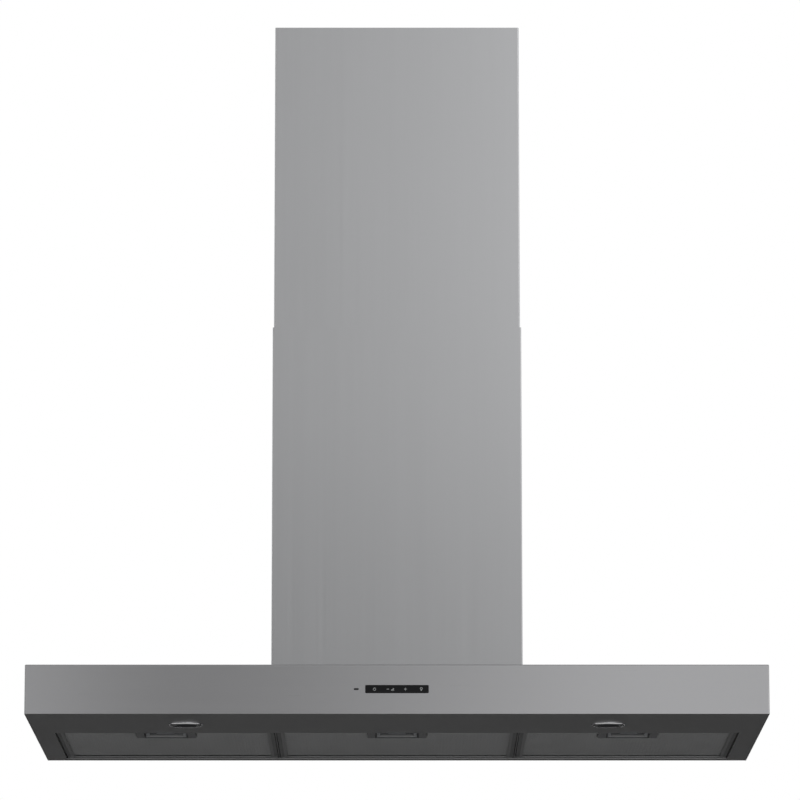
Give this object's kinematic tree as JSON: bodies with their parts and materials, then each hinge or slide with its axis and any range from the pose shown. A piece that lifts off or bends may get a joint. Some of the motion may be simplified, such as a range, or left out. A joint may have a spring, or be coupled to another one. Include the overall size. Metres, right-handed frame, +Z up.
{
  "type": "wall-mounted chimney range hood",
  "caption": "Wall-mounted stainless chimney hood with a slim box canopy, telescoping chimney, touch bar, round lamps, hinged latch-in grease filters, blower and flapped duct collar.",
  "frame": {"origin": "on the wall plane, at the centre line, at the level of the canopy's lower edge", "axes": "+Z up, +Y out of the hood's back towards the wall, +X to the right of someone who faces the hood"},
  "size_m": [0.898, 0.45, 0.9044],
  "materials": {
    "canopy_steel": "long grain brushed along the fascia",
    "chimney_steel": "fine vertical brushed grain",
    "underside_steel": "satin brushed, in shade",
    "galvanised": "galvanised sheet, matt grey spangle",
    "filter_frame": "satin folded aluminium",
    "filter_mesh": "layered expanded aluminium mesh",
    "latch_plastic": "fine textured dark grey",
    "latch_grip": "satin mid grey",
    "lamp_trim": "polished",
    "lamp_lens": "smoked, unlit",
    "heat_sink": "cast, matt",
    "control_glass": "black, glossy, with light touch marks",
    "indicator_lens": "smoked",
    "black_plastic": "moulded, fine texture",
    "grey_plastic": "moulded, fine texture",
    "light_plastic": "moulded, smooth",
    "white_plastic": "moulded, fine texture",
    "circuit_board": "solder resist",
    "motor_steel": "turned and pressed metal"
  },
  "bodies": {
    "root": {"canopy_shell": "canopy_steel", "intake_panel": "underside_steel", "inner_bulkhead": "galvanised", "back_panel": "galvanised", "control_glass": "control_glass", "indicator_window": "indicator_lens", "control_housing": "black_plastic", "control_board": "circuit_board", "filter_divider_left": "underside_steel", "filter_divider_right": "underside_steel", "lamp_bezel_left": "lamp_trim", "lamp_bezel_right": "lamp_trim", "lamp_lens_left": "lamp_lens", "lamp_lens_right": "lamp_lens", "lamp_body_left": "heat_sink", "lamp_body_right": "heat_sink", "blower_box": "galvanised", "volute_left": "black_plastic", "volute_right": "black_plastic", "inlet_ring_left": "grey_plastic", "inlet_ring_right": "grey_plastic", "motor": "motor_steel", "motor_bracket": "galvanised", "capacitor": "white_plastic", "outlet_collar": "black_plastic", "damper_pin": "motor_steel", "lower_chimney": "chimney_steel", "chimney_foot_left": "galvanised", "chimney_foot_right": "galvanised", "junction_box": "white_plastic", "junction_box_lid": "white_plastic", "led_driver": "white_plastic", "cable_gland": "black_plastic"},
    "upper_chimney": {"upper_chimney": "chimney_steel", "chimney_bracket": "galvanised"},
    "impeller": {"impeller": "light_plastic", "motor_shaft": "motor_steel"},
    "damper_front": {"damper_flap_front": "grey_plastic"},
    "damper_rear": {"damper_flap_rear": "grey_plastic"},
    "filter_left": {"filter_frame_left": "filter_frame", "filter_mesh_left": "filter_mesh", "latch_housing_left": "latch_plastic"},
    "latch_left": {"latch_slider_left": "latch_grip"},
    "filter_centre": {"filter_frame_centre": "filter_frame", "filter_mesh_centre": "filter_mesh", "latch_housing_centre": "latch_plastic"},
    "latch_centre": {"latch_slider_centre": "latch_grip"},
    "filter_right": {"filter_frame_right": "filter_frame", "filter_mesh_right": "filter_mesh", "latch_housing_right": "latch_plastic"},
    "latch_right": {"latch_slider_right": "latch_grip"}
  },
  "joints": [
    {"name": "chimney_height", "type": "slide", "parent": "root", "child": "upper_chimney", "axis": [0, 0, 1], "range_m": [-0.33, 0.05]},
    {"name": "impeller_spin", "type": "hinge", "parent": "root", "child": "impeller", "pos_m": [0, -0.1313, 0.19], "axis": [1, 0, 0], "continuous": true},
    {"name": "damper_front_swing", "type": "hinge", "parent": "root", "child": "damper_front", "pos_m": [0, -0.1813, 0.3446], "axis": [-1, 0, 0], "range_deg": [0, 75]},
    {"name": "damper_rear_swing", "type": "hinge", "parent": "root", "child": "damper_rear", "pos_m": [0, -0.1813, 0.3446], "axis": [1, 0, 0], "range_deg": [0, 75]},
    {"name": "filter_left_drop", "type": "hinge", "parent": "root", "child": "filter_left", "pos_m": [-0.287, -0.02, 0.0013], "axis": [1, 0, 0], "range_deg": [0, 50]},
    {"name": "latch_left_pull", "type": "slide", "parent": "filter_left", "child": "latch_left", "axis": [0, 1, 0], "range_m": [0, 0.006], "stiffness_N_per_m": 400, "springref_m": -0.005},
    {"name": "filter_centre_drop", "type": "hinge", "parent": "root", "child": "filter_centre", "pos_m": [0, -0.02, 0.0013], "axis": [1, 0, 0], "range_deg": [0, 50]},
    {"name": "latch_centre_pull", "type": "slide", "parent": "filter_centre", "child": "latch_centre", "axis": [0, 1, 0], "range_m": [0, 0.006], "stiffness_N_per_m": 400, "springref_m": -0.005},
    {"name": "filter_right_drop", "type": "hinge", "parent": "root", "child": "filter_right", "pos_m": [0.287, -0.02, 0.0013], "axis": [1, 0, 0], "range_deg": [0, 50]},
    {"name": "latch_right_pull", "type": "slide", "parent": "filter_right", "child": "latch_right", "axis": [0, 1, 0], "range_m": [0, 0.006], "stiffness_N_per_m": 400, "springref_m": -0.005}
  ]
}
